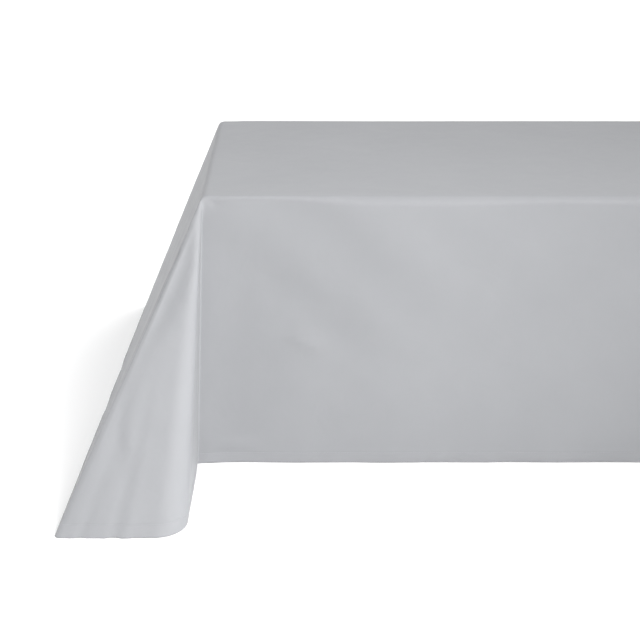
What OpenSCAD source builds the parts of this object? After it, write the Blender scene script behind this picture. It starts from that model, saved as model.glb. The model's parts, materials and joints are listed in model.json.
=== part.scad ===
// Tablecloth on a folding table: a floor-length cloth whose corners stand out as hollow ears,
// over a rectangular top with two folding leg frames. +Z is up, -Y is the front, -X the left.

/* [Table] */
// Length of the table top
table_length = 1829; // [1500:1:2440]
// Depth of the table top, front to back
table_depth = 762; // [700:1:920]
// Height of the top's upper face above the floor
table_height = 762; // [720:1:790]
// Thickness of the plywood panel
panel_thickness = 19; // [15:1:25]
// Radius of the top's corners in plan
corner_radius = 20; // [20:1:40]

/* [Cloth] */
// Thickness of the cloth
cloth_thickness = 1.5; // [1:0.1:2.5]
// Gap between the cloth's inner face and the moulding
cloth_gap = 1.5; // [1.5:0.1:3]
// Height of the hem above the floor
hem_height = 6; // [4:1:12]
// How far the end panels lean out at the hem
end_flare = 360; // [260:1:380]
// How far a corner ear stands forward of the long side at the hem
ear_reach = 407; // [300:1:420]
// Distance from the table's corner to the ear's straight wall
ear_inset = 33; // [25:1:60]
// Radius of the ear's round nose in plan
ear_nose = 80; // [50:1:110]

/* [Rails] */
// Width and height of the apron rails
rail_size = 25; // [20:1:28]
// Wall of the apron rails
rail_wall = 1.5; // [1:0.1:3]
// Distance of the rails from the top's edges
rail_inset = 26; // [20:1:28]

/* [Leg frames] */
// Distance of a leg frame's hinge from the end of the top
hinge_inset = 150; // [145:1:200]
// Distance of the hinge axis below the panel
hinge_drop = 22; // [20:1:26]
// Distance between the two leg tubes of a frame
leg_spacing = 560; // [500:1:570]
// Radius of the leg tubes
leg_radius = 14; // [12:0.5:15]
// Radius of the hinge tube and the cross bar
bar_radius = 12; // [9:0.5:12]
// Wall of all tubes
tube_wall = 1.5; // [1:0.1:2.5]
// Thickness of the sole of a foot cap
foot_sole = 6; // [4:1:10]
// Height of a foot cap
foot_height = 38; // [25:1:50]
// Wall of a foot cap
foot_wall = 2.5; // [2:0.5:4]

/* [Folding stays] */
// Distance of the stay's pivot below the hinge axis
stay_drop = 260; // [220:1:300]
// Distance of the stay's anchor from the hinge axis
anchor_reach = 400; // [350:1:450]
// Width of a stay link
link_width = 20; // [16:1:24]
// Thickness of links, brackets and tabs
plate = 3; // [2.5:0.5:4]

/* [Hidden] */
$fn = 64;

// cloth
cloth_top = table_height + cloth_thickness;
cloth_half_x = table_length / 2 + cloth_gap + cloth_thickness;
cloth_half_y = table_depth / 2 + cloth_gap + cloth_thickness;
bend_steps = 6;
bend_radius = panel_thickness / 2 + cloth_thickness;
tip_radius = 10;
peak_size = 12;
ear_overlap = 60;
fold_steps = 8;
tip_steps = 3;
slab = 0.02;
hem_cut = 2;

// table
panel_bottom = table_height - panel_thickness;
half_x = table_length / 2;
half_y = table_depth / 2;
nose_radius = panel_thickness / 2;
core_length = table_length - 2 * nose_radius;
core_depth = table_depth - 2 * nose_radius;
core_radius = corner_radius - nose_radius;
hinge_x = half_x - hinge_inset;
hinge_z = panel_bottom - hinge_drop;
rail_to_hinge = 30;
long_rail_length = 2 * (hinge_x - rail_to_hinge);
end_rail_inset = 70;
end_rail_x = half_x - end_rail_inset;
rail_corner_gap = 10;
end_rail_length = table_depth - 2 * (rail_inset + rail_size + rail_corner_gap);

// hinge brackets stand just outside the hinge tube's ends
bracket_gap = 0.4;
tube_overhang = 4;
tube_half = leg_spacing / 2 + leg_radius + tube_overhang;
tube_plug = 4;
leg_plug = 20;
bracket_ear_radius = 18;
bracket_width = 56;
bracket_flange = 26;
pin_radius = 8;
running_gap = 0.05;
screw_radius = 2.5;
screw_head_radius = 5;
screw_head_height = 2;
screw_length = 14;
screw_spread = 18;
anchor_screw_spread = 14;
rail_screw_count = 5;
rail_screw_inset = 50;
end_rail_screw_share = 0.4;

// folding stay: straight when the leg stands, folded flat when the leg is folded
stay_span = sqrt(stay_drop * stay_drop + anchor_reach * anchor_reach);
lower_length = (stay_span + anchor_reach - stay_drop) / 2;
upper_length = (stay_span - anchor_reach + stay_drop) / 2;
stay_angle = atan2(stay_drop, anchor_reach);
rivet_radius = 4;
rivet_head_radius = 7;
rivet_head_height = 2;
link_gap = 0.5;
anchor_width = 36;
tab_reach = 32;
lug_radius = link_width / 2;

function arc(cx, cy, r, from, to, steps) =
    [for (i = [0:steps]) let (a = from + (to - from) * i / steps) [cx + r * cos(a), cy + r * sin(a)]];

// one ear's outline at the hem, from the table's corner: straight wall, round nose, front, tip
function ear_outline() = concat(
    [[ear_inset, -ear_overlap]],
    arc(ear_inset + ear_nose, ear_reach - ear_nose, ear_nose, 180, 90, fold_steps),
    arc(end_flare - tip_radius, ear_reach - tip_radius, tip_radius, 90, 0, tip_steps),
    [[end_flare, -ear_overlap]]
);

module four_ways() {
    for (sx = [0, 1], sy = [0, 1]) mirror([sx, 0, 0]) mirror([0, sy, 0]) children();
}

module rounded_plan(length, depth, r) {
    square([length - 2 * r, depth], center = true);
    square([length, depth - 2 * r], center = true);
    for (x = [-1, 1], y = [-1, 1]) translate([x * (length / 2 - r), y * (depth / 2 - r)]) circle(r);
}

// plan of the cloth over the top at one step of its bend, drawn in by "skin" for the inner face
module bend_plan(step, skin) {
    a = 90 * step / bend_steps;
    inset = skin + (bend_radius - skin) * (1 - cos(a));
    translate([0, 0, cloth_top - bend_radius + (bend_radius - skin) * sin(a)])
        linear_extrude(slab)
            square([2 * (cloth_half_x - inset), 2 * (cloth_half_y - inset)], center = true);
}

// the tent under the cloth's outer face (skin = 0), or its inner face (skin = cloth thickness),
// which reaches below the hem so that the cloth stays open at the bottom
module tent(skin) {
    foot_z = hem_height - (skin > 0 ? hem_cut : 0);
    union() {
        hull() {
            for (step = [0:bend_steps]) bend_plan(step, skin);
            translate([0, 0, foot_z]) linear_extrude(slab)
                square([2 * (cloth_half_x + end_flare - skin), 2 * (cloth_half_y - skin)], center = true);
        }
        four_ways() hull() {
            translate([cloth_half_x - peak_size + skin, cloth_half_y - peak_size + skin,
                    cloth_top - bend_radius])
                linear_extrude(slab) square(peak_size - 2 * skin);
            translate([cloth_half_x, cloth_half_y, foot_z]) linear_extrude(slab)
                offset(delta = -skin) polygon(ear_outline());
        }
    }
}

module tablecloth() {
    color("gainsboro") difference() {
        tent(0);
        tent(cloth_thickness);
    }
}

module top_panel() {
    color("burlywood") translate([0, 0, panel_bottom]) linear_extrude(panel_thickness)
        rounded_plan(core_length, core_depth, core_radius);
}

module half_disc() {
    intersection() {
        circle(nose_radius);
        translate([0, -nose_radius]) square([nose_radius, 2 * nose_radius]);
    }
}

// half-round moulding: a straight length along each side, a quarter ring at each corner
module edge_moulding() {
    straight_x = table_length - 2 * corner_radius;
    straight_y = table_depth - 2 * corner_radius;
    color("saddlebrown") translate([0, 0, panel_bottom + nose_radius]) {
        for (turn = [0, 180]) rotate([0, 0, turn]) {
            translate([core_length / 2, straight_y / 2, 0]) rotate([90, 0, 0])
                linear_extrude(straight_y) half_disc();
            translate([-straight_x / 2, core_depth / 2, 0]) rotate([90, 0, 90])
                linear_extrude(straight_x) half_disc();
            translate([straight_x / 2, straight_y / 2, 0])
                rotate_extrude(angle = 90) translate([core_radius, 0]) half_disc();
            translate([-straight_x / 2, straight_y / 2, 0]) rotate([0, 0, 90])
                rotate_extrude(angle = 90) translate([core_radius, 0]) half_disc();
        }
    }
}

// channel rail, open side down, along X
module channel(length) {
    difference() {
        translate([-length / 2, -rail_size / 2, panel_bottom - rail_size])
            cube([length, rail_size, rail_size]);
        translate([-length / 2 - 1, -rail_size / 2 + rail_wall, panel_bottom - rail_size - 1])
            cube([length + 2, rail_size - 2 * rail_wall, rail_size - rail_wall + 1]);
    }
}

module long_rail(side) {
    color("dimgray") translate([0, side * (half_y - rail_inset - rail_size / 2), 0])
        channel(long_rail_length);
}

module end_rail(side) {
    color("dimgray") translate([side * end_rail_x, 0, 0]) rotate([0, 0, 90]) channel(end_rail_length);
}

// vertical ear with the hinge's bore, and a flange screwed up under the panel
module hinge_bracket(side, face) {
    color("dimgray") translate([side * hinge_x, face * (tube_half + bracket_gap + plate / 2), 0])
        difference() {
            union() {
                translate([0, 0, hinge_z]) rotate([90, 0, 0])
                    cylinder(h = plate, r = bracket_ear_radius, center = true);
                translate([0, 0, (hinge_z + panel_bottom) / 2])
                    cube([2 * bracket_ear_radius, plate, panel_bottom - hinge_z], center = true);
                translate([0, face * (bracket_flange - plate) / 2, panel_bottom - plate / 2])
                    cube([bracket_width, bracket_flange, plate], center = true);
            }
            translate([0, 0, hinge_z]) rotate([90, 0, 0])
                cylinder(h = 4 * plate, r = pin_radius + running_gap, center = true);
            for (x = [-screw_spread, screw_spread])
                translate([x, face * bracket_flange / 2, panel_bottom - 2 * plate])
                    cylinder(h = 3 * plate, r = screw_radius);
        }
}

// screw driven up into the panel, its head under the plate or wall at the origin
module screw() {
    cylinder(h = screw_length, r = screw_radius);
    translate([0, 0, -screw_head_height]) cylinder(h = screw_head_height, r = screw_head_radius);
}

module bracket_screws() {
    color("silver") {
        for (sx = [-1, 1], sy = [-1, 1], x = [-screw_spread, screw_spread])
            translate([sx * hinge_x + x,
                    sy * (tube_half + bracket_gap + plate / 2 + bracket_flange / 2),
                    panel_bottom - plate]) screw();
        for (side = [-1, 1], x = [-anchor_screw_spread, anchor_screw_spread])
            translate([side * (hinge_x - anchor_reach) + x, 0, panel_bottom - plate]) screw();
    }
}

module rail_screws() {
    pitch = (long_rail_length - 2 * rail_screw_inset) / (rail_screw_count - 1);
    color("silver") {
        for (face = [-1, 1], i = [0:rail_screw_count - 1])
            translate([(i - (rail_screw_count - 1) / 2) * pitch,
                    face * (half_y - rail_inset - rail_size / 2), panel_bottom - rail_wall]) screw();
        for (side = [-1, 1], end = [-1, 1])
            translate([side * end_rail_x, end * end_rail_screw_share * end_rail_length,
                    panel_bottom - rail_wall]) screw();
    }
}

// tube along Y, closed at both ends, with end pins that turn in the brackets
module hinge_tube(side) {
    color("dimgray") translate([side * hinge_x, 0, hinge_z]) rotate([90, 0, 0]) {
        difference() {
            cylinder(h = 2 * tube_half, r = bar_radius, center = true);
            cylinder(h = 2 * (tube_half - tube_plug), r = bar_radius - tube_wall, center = true);
        }
        for (end = [-1, 1]) translate([0, 0, end * (tube_half + plate)])
            cylinder(h = 2 * plate, r = pin_radius, center = true);
    }
}

module leg_tube(side, face) {
    color("dimgray") difference() {
        translate([side * hinge_x, face * leg_spacing / 2, foot_sole]) difference() {
            cylinder(h = hinge_z - foot_sole, r = leg_radius);
            translate([0, 0, -1]) cylinder(h = hinge_z - foot_sole - leg_plug, r = leg_radius - tube_wall);
        }
        translate([side * hinge_x, 0, hinge_z]) rotate([90, 0, 0])
            cylinder(h = table_depth, r = bar_radius, center = true);
    }
}

// the cross bar sits just above the stay's pivot, so that the folded stay clears it
module at_bar(side) {
    translate([side * hinge_x, 0, hinge_z - stay_drop + tab_reach]) rotate([90, 0, 0]) children();
}

module cross_bar(side) {
    color("dimgray") difference() {
        at_bar(side) difference() {
            cylinder(h = leg_spacing, r = bar_radius, center = true);
            cylinder(h = leg_spacing + 2, r = bar_radius - tube_wall, center = true);
        }
        for (face = [-1, 1]) translate([side * hinge_x, face * leg_spacing / 2, 0])
            cylinder(h = table_height, r = leg_radius);
    }
}

module foot_cap(side, face) {
    color("black") translate([side * hinge_x, face * leg_spacing / 2, 0]) difference() {
        cylinder(h = foot_height, r = leg_radius + foot_wall);
        translate([0, 0, foot_sole]) cylinder(h = foot_height, r = leg_radius);
    }
}

// a stay's two fixed pivots: on the leg frame, and on the anchor under the panel; its links are
// drawn as on the left, from the leg up and inwards to the anchor, and mirrored for the right
module at_tab(side) {
    translate([side * hinge_x, 0, hinge_z - stay_drop]) children();
}

module at_anchor(side) {
    translate([side * (hinge_x - anchor_reach), 0, hinge_z]) children();
}

module rivet_hole() {
    rotate([90, 0, 0]) cylinder(h = 8 * plate, r = rivet_radius + running_gap, center = true);
}

module lug(thickness) {
    rotate([90, 0, 0]) cylinder(h = thickness, r = lug_radius, center = true);
}

module stay_tab(side) {
    color("silver") difference() {
        union() {
            at_tab(side) lug(plate);
            at_tab(side) translate([0, 0, tab_reach / 2]) cube([link_width, plate, tab_reach], center = true);
        }
        at_bar(side) cylinder(h = table_depth, r = bar_radius, center = true);
        at_tab(side) rotate([90, 0, 0]) cylinder(h = 4 * plate, r = rivet_radius, center = true);
    }
}

module stay_anchor(side) {
    color("silver") difference() {
        at_anchor(side) union() {
            lug(plate);
            translate([0, 0, hinge_drop / 2]) cube([link_width, plate, hinge_drop], center = true);
            translate([0, 0, hinge_drop - plate / 2])
                cube([anchor_width, bracket_flange, plate], center = true);
        }
        at_anchor(side) rotate([90, 0, 0]) cylinder(h = 4 * plate, r = rivet_radius, center = true);
    }
}

// flat bar with two round eyes between the origin and "length" along +X, in the plane of X and Z
module link_bar(length) {
    difference() {
        union() {
            lug(plate);
            translate([length, 0, 0]) lug(plate);
            translate([length / 2, 0, 0]) cube([length, plate, link_width], center = true);
        }
        rivet_hole();
        translate([length, 0, 0]) rivet_hole();
    }
}

module lower_link(side) {
    color("silver") at_tab(side) mirror([side > 0 ? 1 : 0, 0, 0])
        translate([0, -plate - link_gap, 0]) rotate([0, -stay_angle, 0]) link_bar(lower_length);
}

module upper_link(side) {
    color("silver") at_anchor(side) mirror([side > 0 ? 0 : 1, 0, 0])
        translate([0, plate + link_gap, 0]) rotate([0, stay_angle, 0]) link_bar(upper_length);
}

// shank from one plate's bore out through a link, with a round head; face is the side of the head
module rivet(face, from) {
    reach = 1.5 * plate + 2 * link_gap;
    rotate([face * 90, 0, 0]) {
        translate([0, 0, from]) cylinder(h = reach - from, r = rivet_radius);
        translate([0, 0, reach]) cylinder(h = rivet_head_height, r = rivet_head_radius);
    }
}

module tab_rivet(side) {
    color("silver") at_tab(side) rivet(1, -plate / 2);
}

module anchor_rivet(side) {
    color("silver") at_anchor(side) rivet(-1, -plate / 2);
}

// the knee's rivet stays with the lower link and stops short of the upper one
module knee_rivet(side) {
    color("silver") at_tab(side) mirror([side > 0 ? 1 : 0, 0, 0])
        translate([lower_length * cos(stay_angle), 0, lower_length * sin(stay_angle)])
            rivet(1, -plate / 2);
}

tablecloth();
top_panel();
edge_moulding();
long_rail(-1);  // long_rail_front
long_rail(1);  // long_rail_back
end_rail(-1);  // end_rail_left
end_rail(1);  // end_rail_right
hinge_bracket(-1, -1);  // hinge_bracket_left_front
hinge_bracket(-1, 1);  // hinge_bracket_left_back
hinge_bracket(1, -1);  // hinge_bracket_right_front
hinge_bracket(1, 1);  // hinge_bracket_right_back
bracket_screws();
rail_screws();
stay_anchor(-1);  // stay_anchor_left
stay_anchor(1);  // stay_anchor_right
anchor_rivet(-1);  // anchor_rivet_left
anchor_rivet(1);  // anchor_rivet_right
hinge_tube(-1);  // hinge_tube_left
hinge_tube(1);  // hinge_tube_right
leg_tube(-1, -1);  // leg_tube_left_front
leg_tube(-1, 1);  // leg_tube_left_back
leg_tube(1, -1);  // leg_tube_right_front
leg_tube(1, 1);  // leg_tube_right_back
cross_bar(-1);  // cross_bar_left
cross_bar(1);  // cross_bar_right
stay_tab(-1);  // stay_tab_left
stay_tab(1);  // stay_tab_right
foot_cap(-1, -1);  // foot_cap_left_front
foot_cap(-1, 1);  // foot_cap_left_back
foot_cap(1, -1);  // foot_cap_right_front
foot_cap(1, 1);  // foot_cap_right_back
upper_link(-1);  // upper_link_left
upper_link(1);  // upper_link_right
lower_link(-1);  // lower_link_left
lower_link(1);  // lower_link_right
tab_rivet(-1);  // tab_rivet_left
tab_rivet(1);  // tab_rivet_right
knee_rivet(-1);  // knee_rivet_left
knee_rivet(1);  // knee_rivet_right
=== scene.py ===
import json
import math

import bpy
import numpy as np
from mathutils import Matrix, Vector, noise


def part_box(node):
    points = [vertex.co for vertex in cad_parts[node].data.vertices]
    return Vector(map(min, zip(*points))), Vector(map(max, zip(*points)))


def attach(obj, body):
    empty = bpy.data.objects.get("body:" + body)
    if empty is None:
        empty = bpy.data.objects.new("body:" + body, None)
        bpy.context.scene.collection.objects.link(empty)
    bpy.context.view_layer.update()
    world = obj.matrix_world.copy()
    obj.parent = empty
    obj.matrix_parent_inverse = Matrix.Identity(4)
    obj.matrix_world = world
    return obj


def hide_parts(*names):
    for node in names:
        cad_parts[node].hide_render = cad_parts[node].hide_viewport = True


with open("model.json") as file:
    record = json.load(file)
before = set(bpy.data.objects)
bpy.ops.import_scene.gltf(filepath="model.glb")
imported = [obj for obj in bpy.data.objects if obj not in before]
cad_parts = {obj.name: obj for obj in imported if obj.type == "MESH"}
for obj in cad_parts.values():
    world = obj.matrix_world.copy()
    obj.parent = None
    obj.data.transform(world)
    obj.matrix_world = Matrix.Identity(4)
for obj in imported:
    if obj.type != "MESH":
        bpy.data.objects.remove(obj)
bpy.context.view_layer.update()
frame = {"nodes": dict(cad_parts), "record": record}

print("frame loaded:", len(frame["nodes"]), "nodes")

tableLow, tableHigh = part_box("edge_moulding")
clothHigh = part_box("tablecloth")[1]


def newMaterial(name):
    mat = bpy.data.materials.new(name)
    mat.use_nodes = True
    shader = mat.node_tree.nodes["Principled BSDF"]
    return mat, mat.node_tree, shader


def addNode(tree, kind, **settings):
    node = tree.nodes.new(kind)
    for key, value in settings.items():
        setattr(node, key, value)
    return node


def link(tree, source, target):
    tree.links.new(source, target)


# a number or a colour is set on the input, and another node's output is linked to it
def feed(tree, value, target):
    if isinstance(value, bpy.types.NodeSocket):
        link(tree, value, target)
    elif isinstance(value, tuple) and len(target.default_value) > len(value):
        target.default_value = (*value, 1.0)
    else:
        target.default_value = value


def objectPoint(tree):
    return addNode(tree, "ShaderNodeTexCoord").outputs["Object"]


def noiseAt(tree, point, scale, detail=4.0, rough=0.55, distortion=0.0):
    node = addNode(tree, "ShaderNodeTexNoise")
    feed(tree, scale, node.inputs["Scale"])
    feed(tree, detail, node.inputs["Detail"])
    feed(tree, rough, node.inputs["Roughness"])
    feed(tree, distortion, node.inputs["Distortion"])
    link(tree, point, node.inputs["Vector"])
    return node.outputs["Fac"]


# stretches the middle of a noise, from 0.3 to 0.7, over a range
def spreadOver(tree, value, low, high):
    node = addNode(tree, "ShaderNodeMapRange")
    node.inputs["From Min"].default_value = 0.3
    node.inputs["From Max"].default_value = 0.7
    node.inputs["To Min"].default_value = low
    node.inputs["To Max"].default_value = high
    link(tree, value, node.inputs["Value"])
    return node.outputs["Result"]


def maths(tree, operation, *values, clamp=False):
    node = addNode(tree, "ShaderNodeMath", operation=operation, use_clamp=clamp)
    for value, target in zip(values, node.inputs):
        feed(tree, value, target)
    return node.outputs["Value"]


def mixColours(tree, mask, dark, light):
    node = addNode(tree, "ShaderNodeMix", data_type="RGBA")
    colourA, colourB = (socket for socket in node.inputs if socket.type == "RGBA")
    link(tree, mask, node.inputs["Factor"])
    feed(tree, dark, colourA)
    feed(tree, light, colourB)
    return next(socket for socket in node.outputs if socket.type == "RGBA")


def bumpFrom(tree, height, distance, strength=1.0, normal=None):
    node = addNode(tree, "ShaderNodeBump")
    node.inputs["Distance"].default_value = distance
    node.inputs["Strength"].default_value = strength
    link(tree, height, node.inputs["Height"])
    if normal is not None:
        link(tree, normal, node.inputs["Normal"])
    return node.outputs["Normal"]


def newGroup(name, inputs, outputs):
    group = bpy.data.node_groups.new(name, "ShaderNodeTree")
    for label, kind, value in inputs:
        socket = group.interface.new_socket(label, in_out="INPUT", socket_type=kind)
        if value is not None:
            socket.default_value = value
    for label, kind in outputs:
        group.interface.new_socket(label, in_out="OUTPUT", socket_type=kind)
    start = addNode(group, "NodeGroupInput")
    end = addNode(group, "NodeGroupOutput")
    return group, start, end


# soft uneven tone shared by the finishes: 0 where a surface is a little darker, 1 where lighter
def makeMottle():
    group, start, end = newGroup(
        "unevenTone",
        [("Vector", "NodeSocketVector", None), ("Scale", "NodeSocketFloat", 8.0),
         ("Spread", "NodeSocketFloat", 0.3)],
        [("Tone", "NodeSocketFloat")])
    broad = noiseAt(group, start.outputs["Vector"], start.outputs["Scale"], detail=5.0, rough=0.6)
    spread = maths(group, "MULTIPLY", maths(group, "SUBTRACT", broad, 0.5), start.outputs["Spread"])
    wide = maths(group, "MULTIPLY", spread, 3.0)
    link(group, maths(group, "ADD", wide, 0.5, clamp=True), end.inputs["Tone"])
    return group


# crossing threads: height of a plain weave on a flat map in metres
def makeWeave():
    group, start, end = newGroup(
        "plainWeave",
        [("Vector", "NodeSocketVector", None), ("Threads", "NodeSocketFloat", 1400.0)],
        [("Height", "NodeSocketFloat")])
    parts = addNode(group, "ShaderNodeSeparateXYZ")
    link(group, start.outputs["Vector"], parts.inputs["Vector"])
    waves = []
    for axis in ("X", "Y"):
        turn = maths(group, "MULTIPLY", parts.outputs[axis], start.outputs["Threads"])
        waves.append(maths(group, "SINE", turn))
    crossed = maths(group, "MULTIPLY", *waves)
    link(group, maths(group, "MULTIPLY_ADD", crossed, 0.5, 0.5), end.inputs["Height"])
    return group


# a group node, and its only output
def placeGroup(tree, group, **values):
    node = addNode(tree, "ShaderNodeGroup", node_tree=group)
    for key, value in values.items():
        feed(tree, value, node.inputs[key])
    return node.outputs[0]


mottleGroup = makeMottle()
weaveGroup = makeWeave()


cloth = {
    "thickness": 0.0012,     # metres
    "hemHeight": 0.0022,     # above the floor
    "hemDepth": 0.030,       # depth of the folded hem
    "stand": 0.0030,         # clear of the table's edge at the corners
    "clear": 0.0014,         # cloth face to table edge, at least
    "spare": 0.002,          # cloth that the bends of the long sides take up
    "cornerBend": 0.006,     # bend radius over the edge at a corner
    "middleBend": 0.028,     # bend radius half way along a side
    "bulge": 0.016,          # how far the soft bend stands off the edge
    "tight": 0.12,           # length of a long side that stays tight beside a corner
    "easing": 0.38,          # length over which the bend softens from there
    "slackPlace": 0.50,      # where the bend is softest, from a corner
    "slackWidth": 0.30,
    "slackLeast": 0.55,      # share of the softness away from there
    "turnOut": 0.008,        # a long side turns out this far beside its ear
    "turnWidth": 0.10,       # length of the side that turns out
    "turnFall": 0.35,        # share of the drop over which the turn sets in
    "turnTop": 0.6,          # share of the turn high up
    "endFlare": 0.360,       # how far the ends lean out at the hem
    "backFlare": 0.302,      # the same at the left end's back corner
    "rightLess": 0.012,      # how much less the right end leans out at its front
    "earReach": 0.407,       # how far an ear stands forward at the hem
    "earInset": 0.033,       # straight wall of the ear, past the table's corner
    "earNose": 0.080,        # radius of the ear's round fold at the hem
    "tipRound": 0.010,       # radius of the ear's corner fold at the hem
}

topZ = clothHigh[2]
halfX = tableHigh[0] + cloth["stand"]
halfY = tableHigh[1] + cloth["stand"]
drop = topZ - cloth["hemHeight"]
endCut = math.hypot(cloth["endFlare"], drop)
frontCut = drop + cloth["spare"]
edgeRadius = (tableHigh[2] - tableLow[2]) / 2
edgeMiddle = (tableHigh[2] + tableLow[2]) / 2
cornerPlan = 0.0105          # plan radius of the panel inside the moulding

meshLines = {
    "cell": 0.016,           # spacing on the flat parts
    "inside": 0.036,         # closer lines start this far inside the table's edge
    "insideCount": 8,
    "bendEnd": 0.027,        # and end this far below it
    "bendCount": 6,
    "hemStart": 0.038,       # even lines end this far from the cut edge
    # lines across the hem, from the cut edge
    "hem": (0.033, 0.031, 0.030, 0.029, 0.026, 0.020, 0.012, 0.005, 0.0015, 0.0),
}


# mesh lines on the hanging part, as shares of the way down: finer at the bend and the hem
def clothLevels():
    bendEnd, bendCount = meshLines["bendEnd"], meshLines["bendCount"]
    even = frontCut - meshLines["hemStart"] - bendEnd
    count = round(even / meshLines["cell"])
    bendLines = [bendEnd * (i + 1) / bendCount for i in range(bendCount)]
    sideLines = [bendEnd + even * (i + 1) / count for i in range(count)]
    hemLines = [frontCut - distance for distance in meshLines["hem"]]
    return np.array(bendLines + sideLines + hemLines) / frontCut


# mesh lines from one edge of the cloth to the other
def clothLines(half, cut, levels):
    bendStart = half - meshLines["inside"]
    count = round(bendStart / meshLines["cell"])
    closer = meshLines["insideCount"]
    lines = [bendStart * i / count for i in range(count)]
    lines += [bendStart + (half - bendStart) * i / closer for i in range(closer + 1)]
    lines = np.concatenate([lines, half + cut * levels])
    return np.concatenate([-lines[:0:-1], lines])


def smoothStep(x):
    x = np.clip(x, 0.0, 1.0)
    return x * x * (3.0 - 2.0 * x)


def bump(distance, width):
    return np.exp(-(distance / width) ** 2)


# how far down each cloth point hangs, as shares of the way to the ends' hem and to the sides' hem
def fallShares(u, v):
    fallU = np.clip((np.abs(u) - halfX) / endCut, 0.0, 1.0)
    fallV = np.clip((np.abs(v) - halfY) / frontCut, 0.0, 1.0)
    return fallU, fallV


# how far an end leans out at the hem: the left end less towards the back
def flareAt(side, y):
    tip = halfY + cloth["earReach"]
    share = (y / tip + 1.0) / 2.0
    left = cloth["endFlare"] + (cloth["backFlare"] - cloth["endFlare"]) * share
    right = cloth["endFlare"] - cloth["rightLess"] * (1.0 - share)
    return np.where(side < 0, left, right)


# plan of the front hem round one ear, as lengths past the table's corner, for k from 0 to 1
def earFrontHem(k, flare):
    inset, nose, reach, tip = (cloth[n] for n in ("earInset", "earNose", "earReach", "tipRound"))
    wall = reach - nose
    arc = nose * math.pi / 2
    face = flare - inset - nose - tip
    turned = tip * math.pi / 4
    along = k * (wall + arc + face + turned)
    turn = np.clip((along - wall) / nose, 0.0, math.pi / 2)
    tipTurn = np.clip((along - wall - arc - face) / tip, 0.0, math.pi / 4)
    x = inset + nose * (1.0 - np.cos(turn)) + np.clip(along - wall - arc, 0.0, face)
    y = np.clip(along, 0.0, wall) + nose * np.sin(turn)
    return x + tip * np.sin(tipTurn), y - tip * (1.0 - np.cos(tipTurn))


# plan of the end's hem round one ear: inwards from the end's lean, and past the table's corner
def earSideHem(k):
    tip, reach = cloth["tipRound"], cloth["earReach"]
    turned = tip * math.pi / 4
    along = k * (reach - tip + turned)
    tipTurn = np.clip((along - (reach - tip)) / tip, 0.0, math.pi / 4)
    inward = tip * (1.0 - np.cos(tipTurn))
    return inward, np.clip(along, 0.0, reach - tip) + tip * np.sin(tipTurn)


# cross-section over the long edge: distance out from the bend's start and fall, w metres along
def overEdge(w, bend, bulge, length):
    turn = np.clip(w / bend, 0.0, math.pi / 2)
    arc = bend * math.pi / 2
    fall = (w - arc) * (drop - bend) / (length - arc)
    fall = np.clip(fall, 0.0, None)
    out = np.where(w < 0, w, bend * np.sin(turn))
    out = out - bulge * smoothStep(fall / (drop - bend))
    return out, bend * (1.0 - np.cos(turn)) + fall


# the cloth's place from flat lengths u (along the table) and v (across), both from the middle
def drapeCloth(u, v):
    sideX, sideY = np.sign(u), np.sign(v)
    p, q = np.abs(u), np.abs(v)
    fallU, fallV = fallShares(u, v)

    # long sides, spread towards the ears, with a slow turn out beside them
    across = halfX - p
    away = smoothStep((across - cloth["tight"]) / cloth["easing"])
    slack = bump(across - cloth["slackPlace"], cloth["slackWidth"])
    slack = cloth["slackLeast"] + (1.0 - cloth["slackLeast"]) * slack
    bend = cloth["cornerBend"] + (cloth["middleBend"] - cloth["cornerBend"]) * away * slack
    bulge = cloth["bulge"] * away * slack
    start = halfY + bulge - bend
    w = q - start
    out, down = overEdge(w, bend, bulge, halfY + frontCut - start)
    beside = np.clip(1.0 - across / cloth["turnWidth"], 0.0, 1.0)
    turnOut = cloth["turnOut"] * beside ** 2 * smoothStep(fallV / cloth["turnFall"])
    turnOut *= cloth["turnTop"] + (1.0 - cloth["turnTop"]) * fallV
    x = p * (1.0 + cloth["earInset"] / halfX * fallV)
    y = np.where(w < 0, q, start + out) + turnOut
    z = topZ - down

    # ends
    end = (p > halfX) & (q <= halfY)
    x = np.where(end, halfX + fallU * flareAt(sideX, v), x)
    y = np.where(end, q, y)
    z = np.where(end, topZ - fallU * drop, z)

    # corner ears: straight folds from the table's corner to the hem
    ear = (p > halfX) & (q > halfY)
    level = np.maximum(fallU, fallV)
    safe = np.where(level > 0, level, 1.0)
    front = fallV >= fallU
    k = np.where(front, fallU, fallV) / safe
    frontX, frontY = earFrontHem(k, flareAt(sideX, sideY * (halfY + cloth["earReach"])))
    inward, sideHemY = earSideHem(k)
    hemX = np.where(front, frontX, flareAt(sideX, sideY * (halfY + sideHemY)) - inward)
    hemY = np.where(front, frontY + cloth["turnOut"] * (1.0 - k) ** 2, sideHemY)
    x = np.where(ear, halfX + level * hemX, x)
    y = np.where(ear, halfY + level * hemY, y)
    z = np.where(ear, topZ - level * drop, z)
    return np.stack([x * sideX, y * sideY, z], axis=-1)


softening = {
    "strength": 0.7,
    "rounds": 8,
    "corner": 0.02,          # whole strength this close to a table corner
    "cornerFade": 0.05,
    "inside": 0.010,         # and only from this far inside the edge
    "insideFade": 0.008,
    "end": 0.004,            # the same along the edge of an end
    "endFade": 0.012,
    "endPast": 0.02,         # and this far past its corners
}


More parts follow.
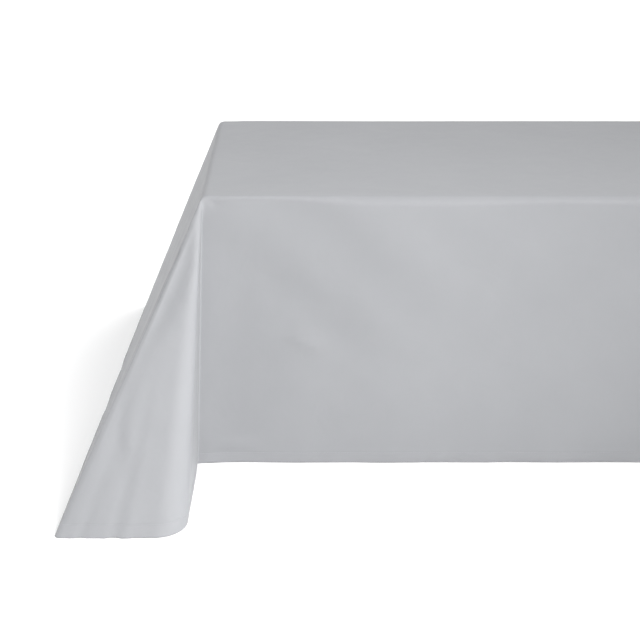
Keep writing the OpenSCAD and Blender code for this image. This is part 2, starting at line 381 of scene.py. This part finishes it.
# rounds the bends at the table's corners and ends
def softenBends(points, u, v):
    pastU, pastV = np.abs(u) - halfX, np.abs(v) - halfY
    corner = 1.0 - smoothStep((np.hypot(pastU, pastV) - softening["corner"]) / softening["cornerFade"])
    corner *= smoothStep((np.maximum(pastU, pastV) + softening["inside"]) / softening["insideFade"])
    end = 1.0 - smoothStep((np.abs(pastU) - softening["end"]) / softening["endFade"])
    end *= pastV <= softening["endPast"]
    weight = softening["strength"] * np.maximum(corner, end)
    for _ in range(softening["rounds"]):
        average = points.copy()
        average[1:-1, 1:-1] = (points[2:, 1:-1] + points[:-2, 1:-1]
                               + points[1:-1, 2:] + points[1:-1, :-2]) / 4.0
        points = points + (average - points) * weight[..., None]
    return points


def gridNormals(points):
    alongU = np.gradient(points, axis=0)
    alongV = np.gradient(points, axis=1)
    normal = np.cross(alongU, alongV)
    return normal / np.maximum(np.linalg.norm(normal, axis=-1, keepdims=True), 1e-9)


# pushes cloth points out of the table's half-round edge
def clearOfTable(points):
    straight = edgeRadius + cornerPlan
    inner = np.array([tableHigh[0] - straight, tableHigh[1] - straight])
    outside = np.clip(np.abs(points[..., :2]) - inner, 0.0, None)
    far = np.linalg.norm(outside, axis=-1)
    flat = far - cornerPlan
    rise = points[..., 2] - edgeMiddle
    gap = np.hypot(np.clip(flat, 0.0, None), rise) - edgeRadius
    need = np.clip(cloth["clear"] - gap, 0.0, None) * (flat > 0) * (rise > -edgeRadius)
    way = np.zeros_like(points)
    way[..., :2] = outside / np.maximum(far, 1e-9)[..., None] * np.sign(points[..., :2])
    way[..., :2] *= np.clip(flat, 0.0, None)[..., None]
    way[..., 2] = rise
    way = way / np.maximum(np.linalg.norm(way, axis=-1, keepdims=True), 1e-9)
    return points + way * need[..., None]


def waveNoise(a, b, seed):
    flatA, flatB = a.reshape(-1), b.reshape(-1)
    values = [noise.noise(Vector((float(m), float(n), seed))) for m, n in zip(flatA, flatB)]
    return np.array(values).reshape(a.shape)


seeds = {"sway": 7.3, "soft": 13.0, "bands": 3.1, "ear": 5.7, "zigzag": 19.0, "streak": 31.0,
         "pucker": 23.0, "finePucker": 29.0, "crumple": 11.0, "fineCrumple": 17.0}

folds = {
    "sway": 0.0026,          # slow waves of the hanging sides, metres
    "swayLength": 0.42,
    "swayFall": 0.25,        # share of the drop over which they set in
    "crumple": 0.0006,       # small uneven dents
    "crumpleLength": 0.07,
    "fineCrumple": 2.3,      # how many times finer the second set of dents is
    "fineShare": 0.5,        # and its share of the height
    "onTable": 0.15,         # share of the dents left on the table top
    "soft": 0.0170,          # soft folds that grow down to the hem, on the ends and the back
    "softFront": 0.0030,     # the same on the front, which hangs flatter
    "softLeft": 0.35,        # share of the soft folds on the left end
    "softLength": 0.15,
    "softDrift": 0.7,        # how much they wander on the way down
    "softEdge": 0.12,        # they fade out this far from a corner
    "clean": 0.018,          # no folds this close to the sharp fold beside an ear
    "cleanFall": 0.02,
}


# soft upright folds of the ends and the long sides
def softFolds(u, v, fall):
    p, q = np.abs(u), np.abs(v)
    onEnd = (p > halfX) & (q <= halfY)
    side = np.where(v < 0, folds["softFront"], folds["soft"])
    side = side * smoothStep((halfX - p) / folds["softEdge"])
    ends = folds["soft"] * np.where(u < 0, folds["softLeft"], 1.0)
    ends = ends * smoothStep((halfY - q) / folds["softEdge"])
    along = np.where(onEnd, v, u) / folds["softLength"]
    waves = waveNoise(along, fall * folds["softDrift"] + np.sign(u) * onEnd, seeds["soft"])
    return waves * np.where(onEnd, ends, side) * fall


bands = {
    "height": 0.0019,        # ripples pulled down and inwards from each table corner
    "length": 0.19,
    "turn": math.radians(40.0),
    "shift": 0.0315,
    "sideFade": 0.06,        # they fade out towards the ear and the table's edge
    "topFade": 0.05,
    "strongest": 0.42,       # distance from the corner
    "spread": 0.30,
    "begin": 0.20,
    "beginFade": 0.12,
    "wander": 0.9,           # how unevenly they lie
    "wanderScale": 2.2,
}

# bands of each corner: strength and phase, by side along and across the table
cornerBands = {(-1, -1): (1.0, 0.0), (1, -1): (1.0, 1.3), (-1, 1): (1.5, 2.1), (1, 1): (1.8, 0.6)}


# ripples on the long sides, in bands that run down and away from each corner
def bandHeights(u, v, across, below):
    fade = smoothStep(across / bands["sideFade"]) * smoothStep(below / bands["topFade"])
    fade *= bump(np.hypot(across, below) - bands["strongest"], bands["spread"])
    place = across * math.sin(bands["turn"]) - below * math.cos(bands["turn"]) - bands["shift"]
    fade *= smoothStep((place + bands["begin"]) / bands["beginFade"])
    uneven = waveNoise(u * bands["wanderScale"], v * bands["wanderScale"], seeds["bands"])
    waves = 2 * math.pi * place / bands["length"] + bands["wander"] * uneven
    height = np.zeros_like(u)
    for (sideX, sideY), (strength, phase) in cornerBands.items():
        here = (np.sign(u) == sideX) & (np.sign(v) == sideY)
        height += strength * np.cos(waves + phase) * here
    return bands["height"] * fade * height


# creases on the long sides: side along and across the table, distance from the corner, below the
# edge, turn in degrees, length, width, height
creases = (
    (-1, -1, 0.030, 0.016, 25.0, 0.014, 0.007, -0.0024),
    (-1, -1, 0.105, 0.712, -7.0, 0.050, 0.011, 0.0062),
    (-1, -1, 0.270, 0.400, 35.0, 0.050, 0.014, 0.0045),
    (-1, -1, 0.235, 0.365, 20.0, 0.030, 0.012, -0.0042),
    (-1, -1, 0.430, 0.690, -4.0, 0.080, 0.012, 0.0014),
    (1, -1, 0.190, 0.700, 9.0, 0.060, 0.011, 0.0026),
    (1, -1, 0.330, 0.300, 48.0, 0.070, 0.012, 0.0014),
    (-1, 1, 0.150, 0.690, 6.0, 0.090, 0.010, 0.0030),
    (-1, 1, 0.420, 0.280, 38.0, 0.120, 0.018, 0.0040),
    (1, 1, 0.240, 0.640, -8.0, 0.080, 0.010, 0.0030),
    (1, 1, 0.300, 0.450, 42.0, 0.100, 0.016, 0.0040),
    (1, 1, 0.620, 0.330, 55.0, 0.160, 0.020, 0.0035),
)
creaseCurve = 0.10           # how far a crease bows


def creaseHeights(u, v, across, below):
    height = np.zeros_like(u)
    for sideX, sideY, place, fall, turn, length, width, rise in creases:
        here = (np.sign(u) == sideX) & (np.sign(v) == sideY)
        turn = math.radians(turn)
        along = (across - place) * math.cos(turn) + (below - fall) * math.sin(turn)
        aside = (below - fall) * math.cos(turn) - (across - place) * math.sin(turn)
        aside = aside + creaseCurve * along ** 2 / length
        height += rise * bump(along, length) * bump(aside, width) * here
    return height


ears = {
    "width": 0.69,           # along the hem, from the long side to the end's fold
    "valley": 0.0110,        # depth of the crease beside the end
    "valleySlope": 5.0,      # how much wider its far side is
    "valleyEnd": 1.3,        # it fades out before here, on the end's side
    "valleyFade": 0.3,
    "foldShare": 0.5,        # and is this much shallower on the end's fold
    "foldWidth": 0.08,
    "zigzag": 0.016,         # how far it wanders sideways low down
    "zigzagFall": 0.5,
    "zigzagFade": 0.1,
    "zigzagScale": (19.0, 3.0),
    "wave": 0.0020,          # height of the upright waves at the hem
    "waveLength": 0.11,      # as a share of the ear's width
    "waveWander": 2.2,
    "waveScale": 1.5,
    "streak": 0.0016,        # finer waves between them
    "streakLength": 0.057,
    "streakWander": 4.0,
    "streakScale": (6.0, 1.5),
    "face": 0.62,            # the waves lie from here to the end's fold
    "faceFade": 0.12,
    "foldFade": 0.06,
}

# the crease down an ear: how far down, where across (0 at the long side, 1 at the end's fold),
# share of its depth, width
valleyRows = (
    (0.00, 0.70, 0.00, 0.010),
    (0.06, 0.71, 0.35, 0.012),
    (0.20, 0.76, 1.00, 0.018),
    (0.33, 0.86, 1.00, 0.020),
    (0.45, 0.93, 0.75, 0.016),
    (0.55, 0.95, 0.60, 0.011),
    (0.62, 0.93, 0.55, 0.008),
    (0.75, 0.86, 0.45, 0.007),
    (0.84, 0.83, 0.00, 0.007),
    (1.00, 0.82, 0.00, 0.007),
)


# ears: a long crease beside the end, and upright waves that grow from the corner to the hem
def earHeights(u, v, fallU, fallV, fall):
    front = fallV >= fallU
    k = np.where(front, fallU, fallV) / np.where(fall > 0, fall, 1.0)
    k = np.where(front, k, 2.0 - k)
    rowDown, rowAcross, rowDepth, rowWidth = zip(*valleyRows)
    zigzag = ears["zigzag"] * smoothStep((fall - ears["zigzagFall"]) / ears["zigzagFade"])
    scaleDown, scaleAcross = ears["zigzagScale"]
    zigzag *= waveNoise(fall * scaleDown, k * scaleAcross, seeds["zigzag"])
    aside = (k - np.interp(fall, rowDown, rowAcross)) * fall * ears["width"] + zigzag
    width = np.interp(fall, rowDown, rowWidth) * np.where(aside > 0, ears["valleySlope"], 1.0)
    deep = np.interp(fall, rowDown, rowDepth) * bump(aside, width)
    deep *= smoothStep((ears["valleyEnd"] - k) / ears["valleyFade"])
    deep *= 1.0 - ears["foldShare"] * bump(k - 1.0, ears["foldWidth"])
    sway = waveNoise(u * ears["waveScale"], v * ears["waveScale"], seeds["ear"])
    scaleAcross, scaleDown = ears["streakScale"]
    uneven = waveNoise(k * scaleAcross, fall * scaleDown, seeds["streak"])
    wave = np.sin(2 * math.pi * (k - ears["face"]) / ears["waveLength"] + ears["waveWander"] * sway)
    streak = np.sin(2 * math.pi * k / ears["streakLength"] + ears["streakWander"] * uneven)
    face = smoothStep((k - ears["face"]) / ears["faceFade"]) * smoothStep((1.0 - k) / ears["foldFade"])
    upright = ears["wave"] * (0.5 + sway) * wave + ears["streak"] * streak
    return np.where((fallU > 0) & (fallV > 0), fall * face * upright - ears["valley"] * deep, 0.0)


hem = {
    "depth": cloth["hemDepth"],
    "gap": 0.0003,           # between the cloth and its turned-in edge
    "thickness": 0.0009,
    "step": 0.0007,          # the folded hem stands this far out
    "stepWidth": 0.002,
    "pucker": 0.0011,        # unevenness along the hem's seam
    "puckerWidth": 0.016,
    "puckerScale": 16.0,     # along the hem, and of a finer set
    "finePucker": 41.0,
    "fineShare": 0.6,
    "downScale": 3.0,        # across the hem
}


# the folded hem, puckered along its seam
def hemHeights(u, v, fallU, fallV, fall):
    cut = (1.0 - fall) * frontCut
    runs = np.where(fallU > fallV, v, u)
    downwards = cut * hem["downScale"]
    uneven = waveNoise(runs * hem["puckerScale"], downwards, seeds["pucker"])
    uneven += hem["fineShare"] * waveNoise(runs * hem["finePucker"], downwards, seeds["finePucker"])
    step = hem["step"] * smoothStep((hem["depth"] - cut) / hem["stepWidth"])
    return hem["pucker"] * uneven * bump(cut - hem["depth"], hem["puckerWidth"]) + step


# distance each cloth point stands out of the smooth drape, along its normal
def foldHeights(u, v):
    across, below = halfX - np.abs(u), np.abs(v) - halfY
    fallU, fallV = fallShares(u, v)
    fall = np.maximum(fallU, fallV)
    hang = smoothStep(fall / folds["swayFall"])
    sway = waveNoise(u / folds["swayLength"], v / folds["swayLength"], seeds["sway"])
    height = folds["sway"] * hang * sway + softFolds(u, v, fall)
    height += bandHeights(u, v, across, below) + creaseHeights(u, v, across, below)
    height += earHeights(u, v, fallU, fallV, fall) + hemHeights(u, v, fallU, fallV, fall)
    height *= 1.0 - bump(across, folds["clean"]) * smoothStep(below / folds["cleanFall"])
    dentU, dentV = u / folds["crumpleLength"], v / folds["crumpleLength"]
    finer = folds["fineCrumple"]
    dents = waveNoise(dentU, dentV, seeds["crumple"])
    dents += folds["fineShare"] * waveNoise(dentU * finer, dentV * finer, seeds["fineCrumple"])
    return height + folds["crumple"] * dents * (folds["onTable"] + (1.0 - folds["onTable"]) * hang)


# how many cells past the table's edge each cell of one direction is, or -1 on the table
def cellsOut(lines):
    cells = np.arange(len(lines) - 1)
    first = len(lines) - 1 - len(levels)
    return np.maximum(np.maximum(len(levels) - 1 - cells, cells - first), -1)


# a mesh of the grid's cells, or only of those with all four corners kept; the cells that an ear's
# corner fold crosses are split along the fold
def buildGridMesh(name, points, keep=None):
    u, v = flatU, flatV
    rows, columns = points.shape[:2]
    index = np.arange(rows * columns).reshape(rows, columns)
    faces = np.stack([index[:-1, :-1], index[1:, :-1], index[1:, 1:], index[:-1, 1:]], axis=-1)
    outU, outV = np.meshgrid(cellsOut(us), cellsOut(vs), indexing="ij")
    folded = (outU == outV) & (outU >= 0)
    oneWay = folded & (u[:-1, :-1] * v[:-1, :-1] > 0)
    otherWay = folded & ~oneWay
    halves = np.concatenate([faces[oneWay][:, [0, 1, 2]], faces[oneWay][:, [0, 2, 3]],
                             faces[otherWay][:, [0, 1, 3]], faces[otherWay][:, [1, 2, 3]]])
    faces = faces[~folded]
    if keep is not None:
        keep = keep.reshape(-1)
        faces = faces[keep[faces].all(axis=1)]
        halves = halves[keep[halves].all(axis=1)]
        used = np.unique(np.concatenate([faces.reshape(-1), halves.reshape(-1)]))
        renumber = np.zeros(rows * columns, dtype=int)
        renumber[used] = np.arange(len(used))
        faces, halves = renumber[faces], renumber[halves]
        points, u, v = points.reshape(-1, 3)[used], u.reshape(-1)[used], v.reshape(-1)[used]
    mesh = bpy.data.meshes.new(name)
    mesh.from_pydata(points.reshape(-1, 3).tolist(), [], faces.tolist() + halves.tolist())
    layer = mesh.uv_layers.new(name="clothMap")
    loops = np.empty(len(mesh.loops), dtype=np.int32)
    mesh.loops.foreach_get("vertex_index", loops)
    flat = np.stack([u.reshape(-1), v.reshape(-1)], axis=-1)[loops]
    layer.data.foreach_set("uv", flat.reshape(-1))
    mesh.shade_smooth()
    obj = bpy.data.objects.new(name, mesh)
    bpy.context.scene.collection.objects.link(obj)
    return obj


levels = clothLevels()
us = clothLines(halfX, endCut, levels)
vs = clothLines(halfY, frontCut, levels)
flatU, flatV = np.meshgrid(us, vs, indexing="ij")
shareDown = np.maximum(*fallShares(flatU, flatV))
print("cloth mesh lines:", len(us), len(vs), "triangles:", 4 * (len(us) - 1) * (len(vs) - 1))

drape = clearOfTable(softenBends(drapeCloth(flatU, flatV), flatU, flatV))
outwards = gridNormals(drape)
outwards[..., 2] *= 1.0 - shareDown ** 3      # the hem keeps its height
drape = clearOfTable(drape + outwards * foldHeights(flatU, flatV)[..., None])
clothNormals = gridNormals(drape)
clothPiece = buildGridMesh("tableclothDrape", drape)
print("cloth folded")


def selectOnly(obj):
    bpy.ops.object.select_all(action="DESELECT")
    obj.select_set(True)
    bpy.context.view_layer.objects.active = obj


# gives a sheet its thickness, inwards
def thicken(obj, thickness):
    shell = obj.modifiers.new("Thickness", "SOLIDIFY")
    shell.thickness = thickness
    shell.offset = -1.0
    shell.use_even_offset = False
    selectOnly(obj)
    bpy.ops.object.modifier_apply(modifier="Thickness")


# the edge of the cloth turned in along all four sides
def makeHem():
    inside = drape - clothNormals * (cloth["thickness"] + hem["gap"])
    piece = buildGridMesh("clothHem", inside, (1.0 - shareDown) * frontCut <= hem["depth"] + 1e-6)
    thicken(piece, hem["thickness"])
    return piece


thicken(clothPiece, cloth["thickness"])
hemPiece = makeHem()
print("hem turned in")

stitches = {
    "line": 0.029,           # the seam lies this far in from the cloth's edge
    "length": 0.0030,
    "pitch": 0.0042,
    "radius": 0.00028,
    "sides": 6,
    "cornerGap": 0.006,
    "proud": 0.4,            # share of the radius by which a stitch's middle stands out
}


# places and directions of the stitches along one row or column of the cloth's grid
def seamPlaces(points, normals):
    steps = np.linalg.norm(np.diff(points, axis=0), axis=1)
    runs = np.concatenate([[0.0], np.cumsum(steps)])

    def along(values, distances):
        return np.stack([np.interp(distances, runs, values[:, i]) for i in range(3)], axis=-1)

    places = np.arange(stitches["cornerGap"], runs[-1] - stitches["cornerGap"], stitches["pitch"])
    at = along(points, places)
    way = along(points, places + stitches["length"] / 2) - at
    way /= np.linalg.norm(way, axis=1, keepdims=True)
    out = along(normals, places)
    out -= way * np.sum(out * way, axis=1, keepdims=True)
    out /= np.linalg.norm(out, axis=1, keepdims=True)
    return at, way, out


# one stitch, copied along the seam
def makeStitches():
    bpy.ops.mesh.primitive_cylinder_add(vertices=stitches["sides"], radius=stitches["radius"],
                                        depth=stitches["length"])
    one = bpy.context.object
    corners = np.array([v.co for v in one.data.vertices])
    faces = [list(f.vertices) for f in one.data.polygons]
    bpy.data.objects.remove(one)
    seamLevel = int(np.argmin(np.abs(levels - (1.0 - stitches["line"] / frontCut))))
    inset = len(levels) - 1 - seamLevel
    rows = [inset, len(us) - 1 - inset]
    columns = [inset, len(vs) - 1 - inset]
    alongU, alongV = slice(rows[0], rows[1] + 1), slice(columns[0], columns[1] + 1)
    seams = [seamPlaces(drape[alongU, j], clothNormals[alongU, j]) for j in columns]
    seams += [seamPlaces(drape[i, alongV], clothNormals[i, alongV]) for i in rows]
    at, way, out = (np.concatenate(parts) for parts in zip(*seams))
    aside = np.cross(out, way)
    at = at + out * stitches["radius"] * stitches["proud"]
    points = at[:, None, :]
    for axis, direction in enumerate((aside, out, way)):
        points = points + corners[None, :, axis, None] * direction[:, None, :]
    allFaces = [[n * len(corners) + v for v in face] for n in range(len(at)) for face in faces]
    mesh = bpy.data.meshes.new("hemStitching")
    mesh.from_pydata(points.reshape(-1, 3).tolist(), [], allFaces)
    piece = bpy.data.objects.new("hemStitching", mesh)
    bpy.context.scene.collection.objects.link(piece)
    selectOnly(piece)
    bpy.ops.object.mode_set(mode="EDIT")
    bpy.ops.mesh.select_all(action="SELECT")
    bpy.ops.mesh.normals_make_consistent(inside=False)
    bpy.ops.object.mode_set(mode="OBJECT")
    print("stitches:", len(at))
    return piece


stitchPiece = makeStitches()

satin = {
    "dark": (0.230, 0.234, 0.244),
    "light": (0.248, 0.252, 0.262),
    "toneScale": 5.0,        # patches of uneven tone in a metre
    "toneSpread": 0.35,
    "threads": 5200.0,       # threads cross every 1.2 mm
    "threadDepth": 0.00006,
    "threadStrength": 0.4,
    "crumpleScale": 9.0,
    "crumpleDepth": 0.004,
    "crumpleStrength": 0.35,
    "roughScale": 14.0,
    "rough": (0.52, 0.62),
    "sheen": 0.06,
    "sheenRough": 0.4,
    "gloss": 0.17,
}


def makeClothMaterial():
    mat, tree, shader = newMaterial("satinCloth")
    point = objectPoint(tree)
    flat = addNode(tree, "ShaderNodeUVMap", uv_map="clothMap").outputs["UV"]
    tone = placeGroup(tree, mottleGroup, Vector=point, Scale=satin["toneScale"],
                      Spread=satin["toneSpread"])
    link(tree, mixColours(tree, tone, satin["dark"], satin["light"]), shader.inputs["Base Color"])
    weave = placeGroup(tree, weaveGroup, Vector=flat, Threads=satin["threads"])
    fine = bumpFrom(tree, weave, satin["threadDepth"], satin["threadStrength"])
    crumple = noiseAt(tree, point, satin["crumpleScale"], detail=3.0, rough=0.5, distortion=0.6)
    soft = bumpFrom(tree, crumple, satin["crumpleDepth"], satin["crumpleStrength"], fine)
    link(tree, soft, shader.inputs["Normal"])
    uneven = noiseAt(tree, point, satin["roughScale"])
    link(tree, spreadOver(tree, uneven, *satin["rough"]), shader.inputs["Roughness"])
    shader.inputs["Sheen Weight"].default_value = satin["sheen"]
    shader.inputs["Sheen Roughness"].default_value = satin["sheenRough"]
    shader.inputs["Specular IOR Level"].default_value = satin["gloss"]
    return mat


thread = {
    "dark": (0.245, 0.249, 0.258),
    "light": (0.300, 0.304, 0.312),
    "twistScale": 2400.0,
    "twistDepth": 0.00008,
    "rough": (0.45, 0.6),
    "sheen": 0.15,
}


def makeThread():
    mat, tree, shader = newMaterial("hemThread")
    twist = noiseAt(tree, objectPoint(tree), thread["twistScale"], detail=2.0, rough=0.5)
    link(tree, mixColours(tree, twist, thread["dark"], thread["light"]), shader.inputs["Base Color"])
    link(tree, bumpFrom(tree, twist, thread["twistDepth"], 0.5), shader.inputs["Normal"])
    link(tree, spreadOver(tree, twist, *thread["rough"]), shader.inputs["Roughness"])
    shader.inputs["Sheen Weight"].default_value = thread["sheen"]
    return mat


clothMaterial = makeClothMaterial()
clothFinishes = ((clothPiece, clothMaterial), (hemPiece, clothMaterial), (stitchPiece, makeThread()))
for piece, finish in clothFinishes:
    piece.data.materials.append(finish)
    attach(piece, "cloth")
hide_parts("tablecloth")
print("cloth draped")

plywood = {
    "dark": (0.36, 0.22, 0.11),
    "light": (0.68, 0.50, 0.31),
    "stretch": (1.2, 14.0, 14.0),     # the grain runs along the table
    "grainScale": 3.0,
    "grainDepth": 0.0004,
    "rough": (0.5, 0.66),
}


def makePlywood():
    mat, tree, shader = newMaterial("sealedPlywood")
    stretch = addNode(tree, "ShaderNodeMapping")
    stretch.inputs["Scale"].default_value = plywood["stretch"]
    link(tree, objectPoint(tree), stretch.inputs["Vector"])
    grain = noiseAt(tree, stretch.outputs["Vector"], plywood["grainScale"],
                    detail=8.0, rough=0.62, distortion=1.2)
    link(tree, mixColours(tree, grain, plywood["dark"], plywood["light"]), shader.inputs["Base Color"])
    link(tree, spreadOver(tree, grain, *plywood["rough"]), shader.inputs["Roughness"])
    link(tree, bumpFrom(tree, grain, plywood["grainDepth"], 0.5), shader.inputs["Normal"])
    return mat


# the finishes of one colour: patches in a metre, roughness from and to, and a fine grain
plainFinishes = {
    "moulding": dict(name="darkVinyl", dark=(0.05, 0.032, 0.022), light=(0.09, 0.06, 0.042),
                     scale=12.0, rough=(0.42, 0.58), grain=900.0, grainDepth=0.0001),
    "frame_steel": dict(name="powderCoat", dark=(0.035, 0.037, 0.04), light=(0.06, 0.063, 0.068),
                        scale=20.0, rough=(0.38, 0.55), grain=700.0, grainDepth=0.0002),
    "zinc_steel": dict(name="zincPlate", dark=(0.45, 0.46, 0.48), light=(0.66, 0.67, 0.68),
                       scale=40.0, rough=(0.28, 0.45), grain=500.0, grainDepth=0.00008, metallic=1.0),
    "foot_rubber": dict(name="blackRubber", dark=(0.012, 0.012, 0.012), light=(0.03, 0.03, 0.03),
                        scale=30.0, rough=(0.7, 0.9), grain=1200.0, grainDepth=0.0002),
}


def makePlain(name, dark, light, scale, rough, grain, grainDepth, metallic=0.0):
    mat, tree, shader = newMaterial(name)
    point = objectPoint(tree)
    tone = placeGroup(tree, mottleGroup, Vector=point, Scale=scale, Spread=0.8)
    link(tree, mixColours(tree, tone, dark, light), shader.inputs["Base Color"])
    fine = noiseAt(tree, point, grain, detail=3.0)
    link(tree, spreadOver(tree, fine, *rough), shader.inputs["Roughness"])
    link(tree, bumpFrom(tree, fine, grainDepth, 0.6), shader.inputs["Normal"])
    shader.inputs["Metallic"].default_value = metallic
    return mat


finishes = {slot: makePlain(**values) for slot, values in plainFinishes.items()}
finishes["plywood"] = makePlywood()
slotOf = {part["node"]: part["material_slot"] for part in frame["record"]["subparts"]}
for nodeName, nodeObject in frame["nodes"].items():
    if slotOf[nodeName] in finishes:
        nodeObject.data.materials.clear()
        nodeObject.data.materials.append(finishes[slotOf[nodeName]])
print("table finished")

studio = {
    "focal": 84.4,                    # millimetres on a 36 mm wide sensor
    "pitch": 22.08,                   # degrees below level
    "camera": (-0.6153, -4.0553, 1.9120),
    "sky": 0.45,                      # even white surroundings
    "floorSize": 60.0,
    "floorColour": (0.93, 0.93, 0.93),
    "floorRough": 0.9,
    "floorGlow": 0.09,                # the pale floor glows a little, which keeps it white
    "boxAim": (-1.0, -0.6, 0.35),
    "boxAway": 4.6,                   # metres from the point it is aimed at
    "boxSize": 2.4,
    "boxTurn": 35.0,                  # degrees to the right of the front
    "boxHeight": 34.0,
    "boxSpread": math.radians(60.0),
    "boxPower": 43.0,
    "wideSize": math.radians(40.0),
}

# wide soft lights: name, turn and height in degrees, power
wideLights = (
    ("rightLight", 76.0, 20.0, 1.80),
    ("backLight", 125.0, 30.0, 1.15),
    ("leftLight", -100.0, 32.0, 2.20),
)

white = (1.0, 1.0, 1.0, 1.0)

bpy.ops.mesh.primitive_plane_add(size=studio["floorSize"])
floorPiece = bpy.context.object
floorPiece.name = "studioFloor"
floorMat, _, floorShader = newMaterial("paleFloor")
floorShader.inputs["Base Color"].default_value = (*studio["floorColour"], 1.0)
floorShader.inputs["Roughness"].default_value = studio["floorRough"]
floorShader.inputs["Emission Color"].default_value = white
floorShader.inputs["Emission Strength"].default_value = studio["floorGlow"]
floorPiece.data.materials.append(floorMat)

world = bpy.data.worlds.new("studioSky")
world.use_nodes = True
sky = world.node_tree
skyLight = sky.nodes["Background"]
skyLight.inputs["Color"].default_value = white
skyLight.inputs["Strength"].default_value = studio["sky"]
backdrop = addNode(sky, "ShaderNodeBackground")
backdrop.inputs["Color"].default_value = white
skyMix = addNode(sky, "ShaderNodeMixShader")
link(sky, addNode(sky, "ShaderNodeLightPath").outputs["Is Camera Ray"], skyMix.inputs["Fac"])
link(sky, skyLight.outputs["Background"], skyMix.inputs[1])
link(sky, backdrop.outputs["Background"], skyMix.inputs[2])
link(sky, skyMix.outputs["Shader"], sky.nodes["World Output"].inputs["Surface"])
bpy.context.scene.world = world


# which way a light lies, turned to the right of the front and raised, in degrees
def lightWay(turn, height):
    turn, height = math.radians(turn), math.radians(height)
    level = math.cos(height)
    return Vector((math.sin(turn) * level, -math.cos(turn) * level, math.sin(height)))


def addLight(name, kind, power, way):
    data = bpy.data.lights.new(name, kind)
    data.energy = power
    lamp = bpy.data.objects.new(name, data)
    lamp.rotation_euler = way.to_track_quat("Z", "Y").to_euler()
    bpy.context.scene.collection.objects.link(lamp)
    return lamp


boxWay = lightWay(studio["boxTurn"], studio["boxHeight"])
softbox = addLight("softbox", "AREA", studio["boxPower"], boxWay)
softbox.location = Vector(studio["boxAim"]) + boxWay * studio["boxAway"]
softbox.data.shape = "SQUARE"
softbox.data.size = studio["boxSize"]
softbox.data.spread = studio["boxSpread"]
for lightName, lightTurn, lightHeight, power in wideLights:
    wideLight = addLight(lightName, "SUN", power, lightWay(lightTurn, lightHeight))
    wideLight.data.angle = studio["wideSize"]

cameraData = bpy.data.cameras.new("studioCamera")
cameraData.sensor_width = 36.0
cameraData.lens = studio["focal"]
cameraData.clip_end = 100.0
camera = bpy.data.objects.new("studioCamera", cameraData)
camera.location = studio["camera"]
camera.rotation_euler = (math.radians(90.0 - studio["pitch"]), 0.0, 0.0)
bpy.context.scene.collection.objects.link(camera)
bpy.context.scene.camera = camera
bpy.context.scene.view_settings.view_transform = "Standard"
print("studio ready")
